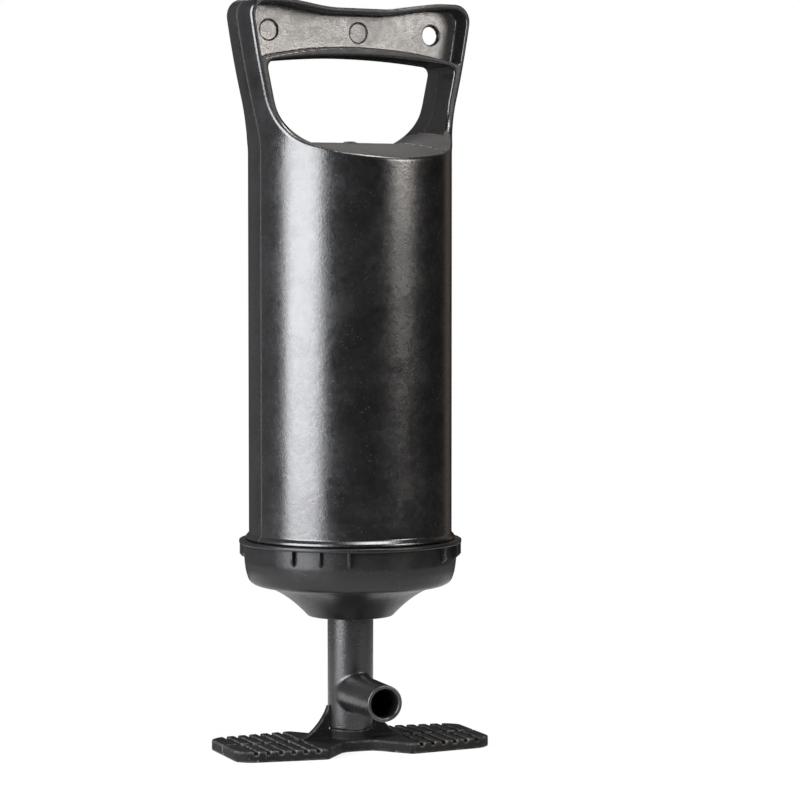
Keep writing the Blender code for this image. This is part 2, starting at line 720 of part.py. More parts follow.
def make_top_valve(parent):
    """Intake valve of the end wall: a rubber ring hung on a plastic button pressed through the wall."""
    top = CEILING - GAP
    ring("top_intake_flap", 2.5 * MM, 8.8 * MM, top - FLAP_THICK, top, RUBBER_RED, parent, SMALL_ROUND)
    crown = VALVE_BOSS_TOP + GAP
    head_top, head_bottom = CEILING - 3.2 * MM, CEILING - 4.6 * MM
    profile = [
        (0.0, crown + 0.6 * MM),
        (2.0 * MM, crown + 0.5 * MM),
        (BUTTON_RADIUS, crown),
        (BUTTON_STEM, crown),
        (BUTTON_STEM, head_top),
        (BUTTON_HEAD, head_top),
        (BUTTON_HEAD, head_bottom),
        (0.0, head_bottom),
    ]
    turned("top_valve_button", profile, PLASTIC_BLACK, parent, sides=16)


# --- End cap and shaft gland ---


def bell(radius):
    """Height of the cap's bell-shaped underside at a radius."""
    way = (BELL_EDGE_RADIUS - radius) / (BELL_EDGE_RADIUS - BELL_NECK_RADIUS)
    return BELL_EDGE_HEIGHT - BELL_DROP * way**BELL_BEND


def make_end_cap(parent):
    """Cap on the barrel's foot: collar, grip flange, bell and the column that holds the shaft gland."""
    flange_bottom = CAP_FLANGE_TOP - CAP_FLANGE_THICK
    profile = [
        (CAP_COLLAR_BORE, CAP_COLLAR_TOP),
        (CAP_COLLAR_RADIUS, CAP_COLLAR_TOP),
        (CAP_COLLAR_RADIUS, CAP_GROOVE_TOP),
        (CAP_GROOVE_RADIUS, CAP_GROOVE_TOP),
        (CAP_GROOVE_RADIUS, CAP_GROOVE_BOTTOM),
        (CAP_COLLAR_RADIUS, CAP_GROOVE_BOTTOM),
        (CAP_COLLAR_RADIUS, CAP_FLANGE_TOP),
        (CAP_FLANGE_RADIUS, CAP_FLANGE_TOP),
        (CAP_FLANGE_RADIUS, flange_bottom),
        (CAP_BAND_RADIUS, flange_bottom),
        (CAP_BAND_RADIUS, 75.0 * MM),
        (41.2 * MM, 70.5 * MM),
        (40.2 * MM, 67.4 * MM),
        (39.2 * MM, 66.1 * MM),
    ]
    steps = 6
    for i in range(steps + 1):
        radius = BELL_EDGE_RADIUS + (BELL_NECK_RADIUS - BELL_EDGE_RADIUS) * i / steps
        profile.append((radius, bell(radius)))
    lip = SHAFT_RADIUS + 0.6 * MM
    profile += [
        (BELL_NECK_RADIUS - 0.5 * MM, CAP_BOTTOM),
        (lip, CAP_BOTTOM),
        (lip, CAP_LIP_TOP),
        (GLAND_BORE, CAP_LIP_TOP),
        (GLAND_BORE, GLAND_TOP),
        (GLAND_RADIUS, GLAND_TOP),
        (GLAND_RADIUS, CAP_FLOOR),
        (CAP_FLOOR_RADIUS, CAP_FLOOR),
    ]
    inner_steps = 3
    for i in range(inner_steps):
        radius = 20.5 * MM + (33.0 * MM - 20.5 * MM) * i / (inner_steps - 1)
        profile.append((radius, bell(radius) + CAP_WALL))
    profile.append((CAP_COLLAR_BORE, 70.5 * MM))
    cap = turned("end_cap", profile, PLASTIC_BLACK, parent, closed=True)
    ribs = []
    rib_high = flange_bottom + 0.4 * MM - RIB_BOTTOM
    for corner in range(4):
        for i in (-1, 0, 1):
            turn = RIB_GROUP_TURN + math.pi / 2 * corner + i * RIB_GROUP_STEP
            inner, outer = CAP_BAND_RADIUS - 0.8 * MM, CAP_FLANGE_RADIUS - 0.2 * MM
            centre = ((inner + outer) / 2, 0, RIB_BOTTOM + rib_high / 2)
            ribs.append(box_adder(centre, (outer - inner, RIB_THICK, rib_high), turn))
    join(cap, solids("grip_ribs", ribs, parent))
    ports = circle_rods(PORT_COUNT, CAP_PORT_CIRCLE, CAP_BOTTOM - 1 * MM, CAP_FLOOR + 0.5 * MM, 1.6 * MM)
    cut(cap, solids("cap_ports", ports, parent))


def make_gland(parent):
    """What seals and guides the shaft in the cap: a bush below, a rubber seal on it, and a retainer."""
    bore = SHAFT_RADIUS + 0.35 * MM
    bush_bottom, seal_bottom = CAP_LIP_TOP + GAP, SHAFT_SEAL_BOTTOM
    outside = GLAND_BORE - GAP
    ring("guide_bush", bore, outside, bush_bottom, seal_bottom - GAP, ACETAL_WHITE, parent, SMALL_ROUND)
    seal = [
        (bore, GLAND_TOP - 0.8 * MM),
        (bore + 0.4 * MM, GLAND_TOP),
        (outside, GLAND_TOP),
        (outside, seal_bottom),
        (bore + 0.4 * MM, seal_bottom),
        (bore, seal_bottom + 0.8 * MM),
    ]
    turned("shaft_seal", seal, RUBBER_BLACK, parent, SMALL_ROUND, closed=True)
    under, cover = GLAND_TOP + GAP, GLAND_TOP + 2.3 * MM
    retainer = [
        (bore + 0.25 * MM, cover),
        (RETAINER_RADIUS - 0.4 * MM, cover),
        (RETAINER_RADIUS, cover - 0.4 * MM),
        (RETAINER_RADIUS, RETAINER_BOTTOM),
        (GLAND_RADIUS + GAP, RETAINER_BOTTOM),
        (GLAND_RADIUS + GAP, under),
        (bore + 0.25 * MM, under),
    ]
    turned("seal_retainer", retainer, PLASTIC_GREY, parent, SMALL_ROUND, closed=True)


def make_cap_rings(parent):
    """The cap's own seal against the barrel, and the flap over its intake ports."""
    inside = CAP_GROOVE_RADIUS + GAP
    bottom, top = CAP_GROOVE_BOTTOM + GAP, CAP_GROOVE_TOP - GAP
    ring("cap_seal", inside, CAP_COLLAR_RADIUS, bottom, top, RUBBER_BLACK, parent)
    low = CAP_FLOOR + GAP
    ring("cap_intake_flap", 13.4 * MM, 18.4 * MM, low, low + FLAP_THICK, RUBBER_RED, parent, SMALL_ROUND)


def main():
    barrel_turn = bpy.data.objects.new("barrel_turn", None)
    PARTS.objects.link(barrel_turn)
    barrel_turn.rotation_euler.z = BARREL_TURN
    make_foot()
    make_foot_screw()
    make_shaft()
    make_piston_lower()
    make_piston_upper()
    make_piston_seal()
    make_exhaust_flaps()
    make_piston_screws()
    make_barrel(barrel_turn)
    make_top_valve(barrel_turn)
    make_end_cap(barrel_turn)
    make_gland(barrel_turn)
    make_cap_rings(barrel_turn)
    bpy.context.view_layer.update()


main()
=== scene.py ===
"""Looks of the hand pump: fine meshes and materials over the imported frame, with a floor, lights
and a camera.

The four mouldings that show (foot, shaft with spigot, end cap, barrel with handle) are made again here
with their rounded edges, fillets, draft and holes. Their shapes are written in millimetres as distance
fields, negative inside, or as turned profiles. The parts inside keep their CAD meshes and get bevelled
edges. The barrel and cap are written in their own frame, turned BARREL_TURN from the foot's."""

import json
import math

import bmesh
import bpy
import numpy as np
from mathutils import Matrix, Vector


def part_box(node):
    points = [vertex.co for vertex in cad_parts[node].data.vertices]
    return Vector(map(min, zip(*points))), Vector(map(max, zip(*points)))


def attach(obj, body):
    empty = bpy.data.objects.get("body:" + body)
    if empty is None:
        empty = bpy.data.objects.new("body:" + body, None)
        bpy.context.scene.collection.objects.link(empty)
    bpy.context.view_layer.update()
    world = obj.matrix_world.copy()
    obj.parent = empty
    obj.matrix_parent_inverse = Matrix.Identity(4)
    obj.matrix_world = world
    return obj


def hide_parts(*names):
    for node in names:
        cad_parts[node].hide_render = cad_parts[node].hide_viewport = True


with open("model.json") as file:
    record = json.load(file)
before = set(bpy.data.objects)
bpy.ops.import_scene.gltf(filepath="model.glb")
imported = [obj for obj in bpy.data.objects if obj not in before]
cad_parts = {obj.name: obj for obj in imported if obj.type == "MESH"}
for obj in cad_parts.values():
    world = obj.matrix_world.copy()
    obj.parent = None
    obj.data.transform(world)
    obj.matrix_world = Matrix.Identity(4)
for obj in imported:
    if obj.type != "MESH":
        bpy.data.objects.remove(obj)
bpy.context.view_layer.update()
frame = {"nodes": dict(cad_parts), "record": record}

MM = 0.001


def cad_mm(node):
    """Lowest and highest corners of a CAD node, in millimetres."""
    low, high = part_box(node)
    return low / MM, high / MM


FOOT_LOW, FOOT_HIGH = cad_mm("foot_base")
SHAFT_LOW, SHAFT_HIGH = cad_mm("shaft_tube")
BARREL_LOW, BARREL_HIGH = cad_mm("barrel")
CAP_LOW, _ = cad_mm("end_cap")

# --- Camera ---
LENS = 140.4
CAMERA_DISTANCE = 1227.5 * MM
CAMERA_HEIGHT = 206.3 * MM
CAMERA_AZIMUTH = math.radians(-20.5)
AIM_DOWN = math.radians(3.18)
AIM_RIGHT = math.radians(0.916)

# --- Floor and light, in metres ---
FLOOR_RADIUS = 0.3  # a small pale disc, so that the room the pump reflects stays dark past it
FLOOR_DROP = 0.05 * MM  # keeps the disc clear of the foot's underside
FLOOR_GREY = 0.13
FLOOR_GLOW = 0.87  # with the lit grey this comes near white
LIGHT_AIM = 0.2  # height that the lights face
# Each box: name, azimuth in degrees, distance, height, width, tallness, radiance, colour
SOFT_BOXES = (
    ("key_strip", -74.5, 0.9, 0.42, 0.76, 1.0, 10.5, (0.95, 0.96, 1.0)),
    ("warm_box", 40, 1.0, 0.48, 0.42, 0.4, 12.0, (1.0, 0.95, 0.9)),
    ("edge_strip", 122, 1.0, 0.4, 0.3, 1.1, 0.25, (1.0, 0.84, 0.72)),
    ("back_box", 160, 1.0, 0.95, 0.7, 0.45, 2.0, (1.0, 0.98, 0.96)),
    ("overhead", 35, 0.4, 1.2, 0.5, 0.5, 12.0, (1.0, 0.98, 0.96)),
)
BACK_LIGHT_WAY = (-0.66, 0.75, 0.05)  # the way towards the paler part of the room
BACK_LIGHT_SPREAD = 0.5  # cosine at which the room has become fully dim
ROOM_DIM, ROOM_PALE = 0.012, 0.18

# --- Colours ---
BLACK = (0.002, 0.002, 0.0022)
CHARCOAL = (0.014, 0.014, 0.0145)
DUST = (0.16, 0.15, 0.14)
RUBBED = (0.20, 0.19, 0.18)
TALC = (0.5, 0.48, 0.45)

# --- Sizes in millimetres ---
BARREL_TURN = math.radians(10)
BARREL_RADIUS = 40.0
BARREL_BORE = 38.1
BARREL_BOTTOM = BARREL_LOW.z
BARREL_JOIN = 229.0  # height where the fine handle mesh meets the turned tube
FLARE_START = 234.5
FLARE_BEND = 10.0
FLARE_SLOPE = 0.287
FLARE_EASE = 205.0
HANDLE_TOP = BARREL_HIGH.z
HANDLE_CORNER = 8.0
HANDLE_SADDLE = 3.0
SADDLE_FLAT = 10.0
SADDLE_RISE = 28.0
HANDLE_HALF_DEPTH = 10.5
SCOOP_CENTRE = (31.0, 256.0)
SCOOP_HALF_HIGH = 19.4
SHOULDER_DEPTHS = (31.0, 33.5, 36.0, 38.0, 40.0, 44.0)
SHOULDER_HEIGHTS = (236.6, 236.3, 235.5, 234.4, 232.9, 229.5)
FLANGE_THICK = 2.0
SKIN_THICK = 1.7
WEB_HALF_THICK = 1.0
GRIP_UNDERSIDE = 272.3
GRIP_SAG = 2.1
GRIP_END = 38.0
GRIP_FLANGE_TOP = 275.8
POCKET_SAG = 6.75
POCKET_REACH = 50.0
POCKET_DRAFT = 0.35
OPENING_CORNER = (24.6, 257.0)
OPENING_CORNER_WIDE = 14.7
OPENING_CORNER_HIGH = 18.0
OPENING_CORNER_ARC = math.radians(75)
ROOF_CORNER = (38.4, 266.1)
ROOF_CORNER_RADIUS = 3.4
OPENING_DRAFT = 0.5  # how far the opening's walls stand in at the parting plane
VALLEY_START, VALLEY_DEPTH, VALLEY_HALF = 238.0, 0.35, 2.2  # hollow along the struts' parting line
VAULT_TOP = 238.6
VAULT_DROP = 5.8
WEB_HOLE = (36.8, 282.0, 3.7)  # place along the grip, height, radius
DIMPLES = (-36.8, 3.3)
DIMPLE_RADIUS = 4.0
DIMPLE_FLOOR = 0.5
CEILING_RADII = (0.0, 14.0, 22.0, 33.0, 38.1)
CEILING_HEIGHTS = (235.2, 235.2, 234.6, 232.4, 230.4)
BOSS_TOP = 238.8
BOSS_RADIUS = 9.5
VENT_COUNT, VENT_CIRCLE, VENT_RADIUS = 6, 6.0, 1.3
BUTTON_HOLE = 2.2
CIRCLE_START = math.radians(3.3)

FOOT_THICK = 4.3
FOOT_CORNERS = (
    (6.0, 9.7),
    (17.5, 23.4),
    (22.0, 23.0),
    (48.5, 19.6),
    (FOOT_HIGH.x, 15.5),
    (FOOT_HIGH.x, -15.5),
)
FOOT_WAIST = (8.0, 9.7)
TREAD_FIRST, TREAD_PITCH, TREAD_GROOVES = 21.5, 4.9, 6
TREAD_WIDTH, TREAD_DEPTH = 1.6, 1.4
SLOT_WIDTH, SLOT_DEPTH, SLOT_START, SLOT_END = 1.7, 3.0, 20.0, 60.0
GUSSET_TOP, GUSSET_REACH, GUSSET_THICK = FOOT_HIGH.z, 22.2, 3.0
GUSSET_CURVE = 1.5  # 2 is an elliptical hollow edge, and 1 a straight one
FOOT_BOSS = 7.8
HEAD_RECESS, HEAD_RECESS_DEEP = 4.3, 4.7

SHAFT_RADIUS = SHAFT_HIGH.x
SHAFT_BORE = 6.3
SHAFT_BOTTOM = SHAFT_LOW.z
SHAFT_TOP = SHAFT_HIGH.z
SHAFT_FLOOR = 17.2
SHAFT_JOIN = 42.0
SPIGOT_HEIGHT = 23.0
SPIGOT_REACH = -SHAFT_LOW.y
SPIGOT_ROOT, SPIGOT_END, SPIGOT_BORE, SPIGOT_MOUTH = 7.5, 7.1, 5.5, 0.7
SCREW_HOLE = 2.15

CAP_BOTTOM = CAP_LOW.z
CAP_BAND = 41.8
CAP_FLANGE = 43.9
CAP_FLANGE_TOP = 83.5
CAP_WALL = 3.2
BELL_EDGE = (37.5, 65.5)
BELL_NECK = 17.2
BELL_DROP = 12.0
BELL_BEND = 1.8
RIB_TURN = math.radians(43.6)
RIB_STEP = math.radians(15.3)
RIB_BOTTOM = 76.6
RIB_TIP = 43.7
PORT_COUNT, PORT_CIRCLE, PORT_RADIUS = 6, 15.2 * MM, 1.6 * MM

# --- Cell sizes of the field meshes in millimetres, and their most triangles ---
HANDLE_CELL, HANDLE_MOST = 0.5, 175000
FOOT_CELL, FOOT_MOST = 0.37, 170000
SHAFT_CELL = 0.36

# --- Where the handle's own finishes lie ---
WEB_SLOT, RIM_SLOT, END_WALL_SLOT = 1, 2, 3
HANDLE_START = VAULT_TOP - 14
END_WALL_TOP = VAULT_TOP + 8
RIM_START = VAULT_TOP + 1
RIM_INSIDE = WEB_HALF_THICK + 3
WEB_OUTSIDE = WEB_HALF_THICK + 0.15
END_WALL_FACING, RIM_FACING, WEB_FACING = 0.7, 0.85, 0.9  # least part of the normal that faces that way


# --- Distance fields: edge and fillet radii are the last argument ---


def meet(a, b, edge):
    """Overlap of two shapes with a rounded edge between them."""
    u, v = np.maximum(a + edge, 0), np.maximum(b + edge, 0)
    return np.minimum(np.maximum(a, b), -edge) + np.hypot(u, v)


def merge(a, b, fillet):
    """Both shapes together, with a fillet where they run into each other."""
    u, v = np.maximum(fillet - a, 0), np.maximum(fillet - b, 0)
    return np.maximum(np.minimum(a, b), fillet) - np.hypot(u, v)


def carve(a, b, edge):
    """The first shape without the second, with a rounded rim."""
    return meet(a, -b, edge)


def ellipse(x, y, half_x, half_y, curve=2.0):
    """About the distance to an ellipse, or to a flatter or squarer oval with another curve."""
    part = (np.abs(x) / half_x) ** curve + (np.abs(y) / half_y) ** curve
    part = np.maximum(part, 0.001) ** (1 / curve)
    return np.hypot(x, y) * (1 - 1 / part)


def band(value, low, high):
    """The layer between two values."""
    return np.maximum(low - value, value - high)


def circle_of(x, y, count, circle, radius):
    """Distance to the nearest of several upright round holes on a circle."""
    found = None
    for i in range(count):
        turn = CIRCLE_START + math.tau * i / count
        one = np.hypot(x - circle * math.cos(turn), y - circle * math.sin(turn)) - radius
        found = one if found is None else np.minimum(found, one)
    return found


def surface_points(values):
    """Where the surface crosses the grid: a vertex in every crossed cell, a quad on every crossed edge."""
    shape = values.shape
    cells = [n - 1 for n in shape]
    places, owners, quads = [], [], []
    for axis in range(3):
        near = np.take(values, np.arange(shape[axis] - 1), axis)
        far = np.take(values, np.arange(1, shape[axis]), axis)
        crossed = np.argwhere((near < 0) != (far < 0))
        second, third = (axis + 1) % 3, (axis + 2) % 3
        inner = (crossed[:, second] > 0) & (crossed[:, second] < shape[second] - 1)
        inner &= (crossed[:, third] > 0) & (crossed[:, third] < shape[third] - 1)
        crossed = crossed[inner]
        start, end = near[tuple(crossed.T)], far[tuple(crossed.T)]
        place = crossed.astype(float)
        place[:, axis] += start / (start - end)
        corners = []
        for back_second, back_third in ((0, 0), (1, 0), (1, 1), (0, 1)):
            cell = crossed.copy()
            cell[:, second] -= back_second
            cell[:, third] -= back_third
            corners.append(np.ravel_multi_index(tuple(cell.T), cells))
            places.append(place)
            owners.append(corners[-1])
        quad = np.stack(corners, 1)
        inward = start > end
        quad[inward] = quad[inward][:, ::-1]
        quads.append(quad)
    used, owner = np.unique(np.concatenate(owners), return_inverse=True)
    place = np.concatenate(places)
    count = np.bincount(owner)
    points = np.stack([np.bincount(owner, place[:, k]) / count for k in range(3)], 1)
    return points, np.searchsorted(used, np.concatenate(quads))


def field_mesh(name, field, low, high, cell):
    """Mesh of a distance field in a box, its vertices moved onto the exact surface."""
    axes = [np.arange(a, b + cell, cell) for a, b in zip(low, high)]
    values = field(*np.meshgrid(*axes, indexing="ij", sparse=True))
    points, quads = surface_points(values)
    points = points * cell + np.array([axis[0] for axis in axes])
    step = cell / 8
    for _ in range(2):
        here = field(*points.T)
        slope = np.empty_like(points)
        for k in range(3):
            shift = np.zeros(3)
            shift[k] = step
            slope[:, k] = (field(*(points + shift).T) - field(*(points - shift).T)) / (2 * step)
        steep = np.maximum((slope**2).sum(1), 0.25)
        move = slope * (here / steep)[:, None]
        length = np.maximum(np.linalg.norm(move, axis=1), 1e-9)
        points -= move * np.minimum(1, 0.4 * cell / length)[:, None]
    mesh = bpy.data.meshes.new(name)
    mesh.from_pydata(points, [], quads)
    return mesh


def barrel_flare(height):
    """Radius of the barrel's outside, which widens into the struts above FLARE_START."""
    above = np.maximum(height - FLARE_START, 0)
    rise = np.where(above < FLARE_BEND, above**2 / (2 * FLARE_BEND), above - FLARE_BEND / 2)
    return BARREL_RADIUS + FLARE_SLOPE * rise * (1 - rise / FLARE_EASE)


def saddle(across):
    """Height of the handle's top edge."""
    way = np.clip((np.abs(across) - SADDLE_FLAT) / SADDLE_RISE, 0, 1)
    return HANDLE_TOP - HANDLE_SADDLE * (1 - way * way * (3 - 2 * way))


def scoop_field(depth, height):
    """What is left behind the handle's face, its hollow root and the shoulder of the end wall."""
    middle, start = SCOOP_CENTRE
    root = -ellipse(depth - middle, height - start, middle - HANDLE_HALF_DEPTH, SCOOP_HALF_HIGH)
    shoulder = height - np.interp(depth, SHOULDER_DEPTHS, SHOULDER_HEIGHTS)
    below = np.where(depth < middle, root, shoulder)
    return np.where(height >= start, depth - HANDLE_HALF_DEPTH, below)


def opening_field(along, depth, height):
    """The hand opening: vaulted floor, round lower corners, sloping walls and a sagging roof."""
    across = np.abs(along)
    middle, top = OPENING_CORNER
    drop = VAULT_DROP * (depth / BARREL_RADIUS) ** 2 / (top - VAULT_TOP)
    level = np.where(height < top, (height + drop * top) / (1 + drop), height)
    out, up = across - middle, level - top
    corner = ellipse(out, up, OPENING_CORNER_WIDE, OPENING_CORNER_HIGH)
    low = np.where(out < 0, VAULT_TOP - level, corner)
    foot_out = middle + OPENING_CORNER_WIDE * math.sin(OPENING_CORNER_ARC)
    foot_up = top - OPENING_CORNER_HIGH * math.cos(OPENING_CORNER_ARC)
    run, rise = ROOF_CORNER[0] + ROOF_CORNER_RADIUS - foot_out, ROOF_CORNER[1] - foot_up
    wall = ((across - foot_out) * rise - (level - foot_up) * run) / math.hypot(run, rise)
    side = np.where(np.arctan2(out, -up) > OPENING_CORNER_ARC, wall, low)
    roof = height - GRIP_UNDERSIDE + GRIP_SAG * (across / GRIP_END) ** 2
    draft = OPENING_DRAFT * np.maximum(1 - depth / HANDLE_HALF_DEPTH, 0)
    return meet(side, roof, ROOF_CORNER_RADIUS) + draft


def pocket_field(along, depth, height, side):
    """The recess in each face of the grip, inside its rim and down to the web."""
    floor = GRIP_FLANGE_TOP - POCKET_SAG * (along / POCKET_REACH) ** 2 - height
    upper = meet(height - saddle(along) + FLANGE_THICK, side + SKIN_THICK, HANDLE_CORNER - SKIN_THICK)
    draft = POCKET_DRAFT * (1 - depth / HANDLE_HALF_DEPTH)
    return meet(meet(upper, floor, 1.4) + draft, WEB_HALF_THICK - depth, 0.5)


def barrel_field(along, off, height):
    """The barrel's top with its handle, in the barrel's own frame: along the grip, off it and up."""
    depth = np.abs(off)
    radius = np.hypot(along, off)
    side = radius - barrel_flare(height)
    valley = np.clip((height - VALLEY_START) / 12, 0, 1) * VALLEY_DEPTH
    side = side + valley * np.maximum(1 - depth / VALLEY_HALF, 0) ** 1.5
    solid = meet(side, height - saddle(along), HANDLE_CORNER)
    solid = meet(solid, scoop_field(depth, height), 1.3)
    solid = carve(solid, opening_field(along, depth, height), 1.1)
    solid = carve(solid, pocket_field(along, depth, height, side), 0.85)
    hole = np.hypot(along - WEB_HOLE[0], height - WEB_HOLE[1]) - WEB_HOLE[2] + 0.3 * np.clip(off, -1, 1)
    solid = carve(solid, hole, 0.25)
    for place in DIMPLES:
        disc = np.hypot(along - place, height - WEB_HOLE[1]) - DIMPLE_RADIUS
        solid = carve(solid, meet(disc, DIMPLE_FLOOR - depth, 0.2), 0.2)
    boss = meet(radius - BOSS_RADIUS, band(height, BOSS_TOP - 3, BOSS_TOP), 0.3)
    solid = merge(solid, boss, 0.5)
    ceiling = np.interp(radius, CEILING_RADII, CEILING_HEIGHTS)
    solid = carve(solid, meet(radius - BARREL_BORE, height - ceiling, 1.5), 0.3)
    below_roof = height - VAULT_TOP - 3
    vents = circle_of(along, off, VENT_COUNT, VENT_CIRCLE, VENT_RADIUS)
    solid = carve(solid, np.maximum(vents, below_roof), 0.3)
    return carve(solid, np.maximum(radius - BUTTON_HOLE, below_roof), 0.3)


def foot_plan(x, y):
    """Bow-tie plan of the foot: two tread plates and the waist between them."""
    reach, side = np.abs(x), np.abs(y)
    plate = None
    for (x0, y0), (x1, y1) in zip(FOOT_CORNERS, FOOT_CORNERS[1:]):
        length = math.hypot(x1 - x0, y1 - y0)
        line = ((x1 - x0) * (side - y0) - (y1 - y0) * (reach - x0)) / length
        plate = line if plate is None else meet(plate, line, 1.5)
    waist = meet(reach - FOOT_WAIST[0], side - FOOT_WAIST[1], 0.5)
    return merge(plate, waist, 2.0)


def foot_field(x, y, z):
    """The foot: grooved tread plates, boss under the shaft, two gussets and the screw's hole."""
    reach, side, radius = np.abs(x), np.abs(y), np.hypot(x, y)
    solid = meet(foot_plan(x, y), band(z, 0.0, FOOT_THICK), 0.7)
    bar = (reach - TREAD_FIRST) / TREAD_PITCH
    nearest = np.clip(np.round(bar), 0, TREAD_GROOVES - 1)
    groove = np.abs(reach - TREAD_FIRST - nearest * TREAD_PITCH) - TREAD_WIDTH / 2
    groove = meet(groove, FOOT_THICK - TREAD_DEPTH - z, 0.3) + 0 * side
    slot = np.maximum(side - SLOT_WIDTH / 2, band(reach, SLOT_START, SLOT_END))
    slot = meet(slot, FOOT_THICK - SLOT_DEPTH - z, 0.3)
    solid = carve(solid, np.minimum(groove, slot), 0.45)
    boss = meet(radius - FOOT_BOSS, band(z, 1.0, SHAFT_BOTTOM - 0.3), 0.3)
    hollow_wide, hollow_high = GUSSET_REACH - SHAFT_RADIUS - 0.3, GUSSET_TOP - FOOT_THICK
    hollow = -ellipse(reach - GUSSET_REACH, z - GUSSET_TOP, hollow_wide, hollow_high, GUSSET_CURVE)
    block = np.maximum(band(reach, SHAFT_RADIUS + 0.3, GUSSET_REACH), band(z, 1, GUSSET_TOP))
    gusset = np.maximum(hollow, block)
    gusset = meet(gusset, side - GUSSET_THICK / 2, 0.5)
    root = np.maximum(band(reach, 5.0, 12.0), band(z, 1.0, SHAFT_BOTTOM - 0.6))
    gusset = np.minimum(gusset, meet(root, side - GUSSET_THICK / 2, 0.3))
    solid = merge(merge(solid, boss, 0.8), gusset, 1.2)
    solid = carve(solid, np.maximum(radius - HEAD_RECESS, z - HEAD_RECESS_DEEP), 0.3)
    return carve(solid, radius - SCREW_HOLE, 0.3)


def shaft_field(x, y, z):
    """The shaft's lower end with the hose spigot, its channel and the screw's hole."""
    radius = np.hypot(x, y)
    beside = np.hypot(x, z - SPIGOT_HEIGHT)
    outside = SPIGOT_ROOT + (SPIGOT_END - SPIGOT_ROOT) * np.clip((-y - 12) / (SPIGOT_REACH - 12), 0, 1)
    spigot = meet(beside - outside, band(-y, 2.0, SPIGOT_REACH), 0.55)
    tube = meet(radius - SHAFT_RADIUS, SHAFT_BOTTOM - z, 0.4)
    solid = merge(tube, spigot, 1.1)
    channel = beside - SPIGOT_BORE - np.maximum(SPIGOT_MOUTH - np.abs(y + SPIGOT_REACH), 0) * 0.6
    solid = carve(solid, np.maximum(channel, y), 0.35)
    solid = carve(solid, meet(radius - SHAFT_BORE, SHAFT_FLOOR - z, 0.8), 0.5)
    return carve(solid, np.maximum(radius - SCREW_HOLE, z - SHAFT_FLOOR + 1), 0.3)


# --- Meshes ---


def add_piece(name, mesh, body, finish, node):
    """A visible piece that stands for a CAD node."""
    made = bpy.data.objects.new(name, mesh)
    bpy.context.scene.collection.objects.link(made)
    mesh.materials.append(finish)
    for face in mesh.polygons:
        face.use_smooth = True
    made.modifiers.new("shading", "WEIGHTED_NORMAL")
    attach(made, body)
    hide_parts(node)
    return made


def settle(made):
    """Makes an object's modifiers part of its mesh."""
    bpy.context.view_layer.update()
    result = bpy.data.meshes.new_from_object(made.evaluated_get(bpy.context.evaluated_depsgraph_get()))
    old = made.data
    made.modifiers.clear()
    made.data = result
    bpy.data.meshes.remove(old)


def thinned(mesh, most):
    """The mesh with no more than so many triangles."""
    triangles = sum(len(face.vertices) - 2 for face in mesh.polygons)
    if triangles <= most:
        return mesh
    helper = bpy.data.objects.new("helper", mesh)
    bpy.context.scene.collection.objects.link(helper)
    fewer = helper.modifiers.new("fewer", "DECIMATE")
    fewer.ratio = most / triangles
    settle(helper)
    result = helper.data
    bpy.data.objects.remove(helper)
    return result


def rounded(profile, closed=False):
    """A turned profile with round corners. Each point is (radius, height) or (radius, height, corner)."""
    points = []
    count = len(profile)
    for i, (radius, height, *corner) in enumerate(profile):
        here = np.array((radius, height))
        if not corner or (not closed and i in (0, count - 1)):
            points.append((radius, height))
            continue
        before = np.array(profile[i - 1][:2]) - here
        after = np.array(profile[(i + 1) % count][:2]) - here
        before, after = before / np.linalg.norm(before), after / np.linalg.norm(after)
        start, end = here + before * corner[0], here + after * corner[0]
        for way in (0.0, 0.25, 0.5, 0.75, 1.0):
            points.append(tuple((1 - way) ** 2 * start + 2 * way * (1 - way) * here + way**2 * end))
    return points


def turn_rows(shape, profile, angles):
    """Rings of vertices for a turned profile, with the quads between them."""
    rows = []
    for radius, height in profile:
        rows.append([shape.verts.new((radius * math.cos(a), radius * math.sin(a), height)) for a in angles])
    for upper, lower in zip(rows, rows[1:]):
        for i in range(len(angles)):
            j = (i + 1) % len(angles)
            shape.faces.new((upper[i], lower[i], lower[j], upper[j]))
    return rows


def zip_rings(shape, upper, lower):
    """Triangles between two rings round the Z axis that have different numbers of vertices."""

    def sorted_ring(ring):
        return sorted((math.atan2(v.co.y, v.co.x) % math.tau, i, v) for i, v in enumerate(ring))

    first, second = sorted_ring(upper), sorted_ring(lower)
    i = j = 0
    while i < len(first) or j < len(second):
        a, b = first[i % len(first)], second[j % len(second)]
        next_a, next_b = first[(i + 1) % len(first)], second[(j + 1) % len(second)]
        angle_a = next_a[0] + (math.tau if i + 1 >= len(first) else 0)
        angle_b = next_b[0] + (math.tau if j + 1 >= len(second) else 0)
        if j >= len(second) or (i < len(first) and angle_a < angle_b):
            shape.faces.new((a[2], b[2], next_a[2]))
            i += 1
        else:
            shape.faces.new((a[2], b[2], next_b[2]))
            j += 1


def cut_rings(shape, height, keep_above, rings):
    """Cuts a mesh level and returns its cut edges as rings, sorted into the given radius ranges."""
    result = bmesh.ops.bisect_plane(
        shape,
        geom=[*shape.verts, *shape.edges, *shape.faces],
        dist=1e-5,
        plane_co=(0, 0, height),
        plane_no=(0, 0, 1),
        clear_inner=keep_above,
        clear_outer=not keep_above,
    )
    edge = [v for v in result["geom_cut"] if isinstance(v, bmesh.types.BMVert)]
    return [[v for v in edge if low < math.hypot(v.co.x, v.co.y) < high] for low, high in rings]


def finish_mesh(shape, name, turn=0.0):
    """Millimetres to metres, turned into place, with outward normals."""
    bmesh.ops.recalc_face_normals(shape, faces=shape.faces)
    shape.transform(Matrix.Rotation(turn, 4, "Z") @ Matrix.Scale(MM, 4))
    mesh = bpy.data.meshes.new(name)
    shape.to_mesh(mesh)
    shape.free()
    return mesh


def even_angles(count):
    return [math.tau * i / count for i in range(count)]


